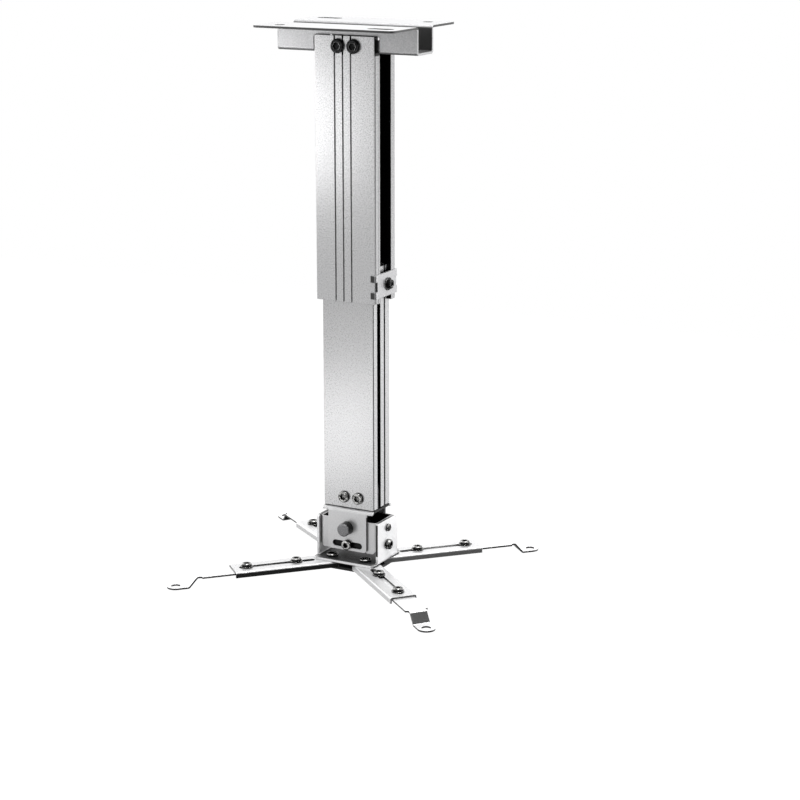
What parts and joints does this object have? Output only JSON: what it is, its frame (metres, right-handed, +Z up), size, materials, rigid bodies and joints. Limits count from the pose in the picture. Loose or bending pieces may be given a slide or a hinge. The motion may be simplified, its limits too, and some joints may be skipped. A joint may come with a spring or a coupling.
{
  "type": "projector ceiling mount",
  "caption": "Ceiling mount with a telescopic square column, a head that tilts two ways and adjustable spider arms with cranked feet.",
  "frame": {"origin": "middle of the ceiling plane, on the column's axis", "axes": "+Z up into the ceiling, -Y towards the front face with three grooves, +X towards the side with the open slot and the clamp"},
  "size_m": [0.2866, 0.2658, 0.5048],
  "materials": {
    "satin_aluminium": "satin silver, finely sparkling",
    "silver_steel": "silver powder coat, fine grained, satin",
    "black_screw": "glossy black oxide",
    "nickel_screw": "nickel plate, dulled in the sockets",
    "zinc_washer": "bright zinc plate",
    "plain_block": "sawn and drilled, plain"
  },
  "bodies": {
    "root": {"ceiling_bracket": "silver_steel", "cross_block": "plain_block", "block_screws": "nickel_screw", "outer_profile": "satin_aluminium", "top_screws": "black_screw", "clamp_plate": "silver_steel", "clamp_nut": "zinc_washer", "clamp_screw": "nickel_screw"},
    "column": {"inner_profile": "satin_aluminium", "end_block": "plain_block", "foot_screws": "nickel_screw", "upper_bracket": "silver_steel", "head_screws": "nickel_screw"},
    "tilt": {"tilt_box": "silver_steel", "roll_studs": "zinc_washer", "pitch_rivets": "nickel_screw", "roll_lock_screws": "nickel_screw", "roll_lock_nuts": "zinc_washer", "pitch_lock_screws": "nickel_screw", "pitch_lock_nuts": "zinc_washer"},
    "base": {"lower_bracket": "silver_steel", "base_screws": "nickel_screw", "hub_plate": "silver_steel"},
    "arm_front_left": {"arm_channel_front_left": "silver_steel"},
    "foot_front_left": {"foot_strip_front_left": "silver_steel", "arm_screws_front_left": "nickel_screw", "arm_washers_front_left": "zinc_washer", "arm_nuts_front_left": "zinc_washer"},
    "arm_front_right": {"arm_channel_front_right": "silver_steel"},
    "foot_front_right": {"foot_strip_front_right": "silver_steel", "arm_screws_front_right": "nickel_screw", "arm_washers_front_right": "zinc_washer", "arm_nuts_front_right": "zinc_washer"},
    "arm_rear_right": {"arm_channel_rear_right": "silver_steel"},
    "foot_rear_right": {"foot_strip_rear_right": "silver_steel", "arm_screws_rear_right": "nickel_screw", "arm_washers_rear_right": "zinc_washer", "arm_nuts_rear_right": "zinc_washer"},
    "arm_rear_left": {"arm_channel_rear_left": "silver_steel"},
    "foot_rear_left": {"foot_strip_rear_left": "silver_steel", "arm_screws_rear_left": "nickel_screw", "arm_washers_rear_left": "zinc_washer", "arm_nuts_rear_left": "zinc_washer"}
  },
  "joints": [
    {"name": "height_slide", "type": "slide", "parent": "root", "child": "column", "axis": [0, 0, 1], "range_m": [0, 0.175]},
    {"name": "roll_tilt", "type": "hinge", "parent": "column", "child": "tilt", "pos_m": [0, 0, -0.46], "axis": [0, 1, 0], "range_deg": [-10, 10]},
    {"name": "pitch_tilt", "type": "hinge", "parent": "tilt", "child": "base", "pos_m": [0, 0, -0.46], "axis": [1, 0, 0], "range_deg": [-10, 10]},
    {"name": "swivel_front_left", "type": "hinge", "parent": "base", "child": "arm_front_left", "pos_m": [-0.0176, -0.0162, -0.49255], "axis": [0, 0, 1], "range_deg": [-21.7, 18.3]},
    {"name": "reach_front_left", "type": "slide", "parent": "arm_front_left", "child": "foot_front_left", "axis": [-0.6858, -0.7278, 0], "range_m": [-0.01, 0.002]},
    {"name": "swivel_front_right", "type": "hinge", "parent": "base", "child": "arm_front_right", "pos_m": [0.0176, -0.0162, -0.49255], "axis": [0, 0, 1], "range_deg": [-24.3, 15.7]},
    {"name": "reach_front_right", "type": "slide", "parent": "arm_front_right", "child": "foot_front_right", "axis": [0.7581, -0.6521, 0], "range_m": [-0.01, 0.002]},
    {"name": "swivel_rear_right", "type": "hinge", "parent": "base", "child": "arm_rear_right", "pos_m": [0.0176, 0.0162, -0.49255], "axis": [0, 0, 1], "range_deg": [-21.4, 18.6]},
    {"name": "reach_rear_right", "type": "slide", "parent": "arm_rear_right", "child": "foot_rear_right", "axis": [0.6896, 0.7242, 0], "range_m": [-0.01, 0.002]},
    {"name": "swivel_rear_left", "type": "hinge", "parent": "base", "child": "arm_rear_left", "pos_m": [-0.0176, 0.0162, -0.49255], "axis": [0, 0, 1], "range_deg": [-29.5, 10.5]},
    {"name": "reach_rear_left", "type": "slide", "parent": "arm_rear_left", "child": "foot_rear_left", "axis": [-0.8141, 0.5807, 0], "range_m": [-0.01, 0.002]}
  ]
}
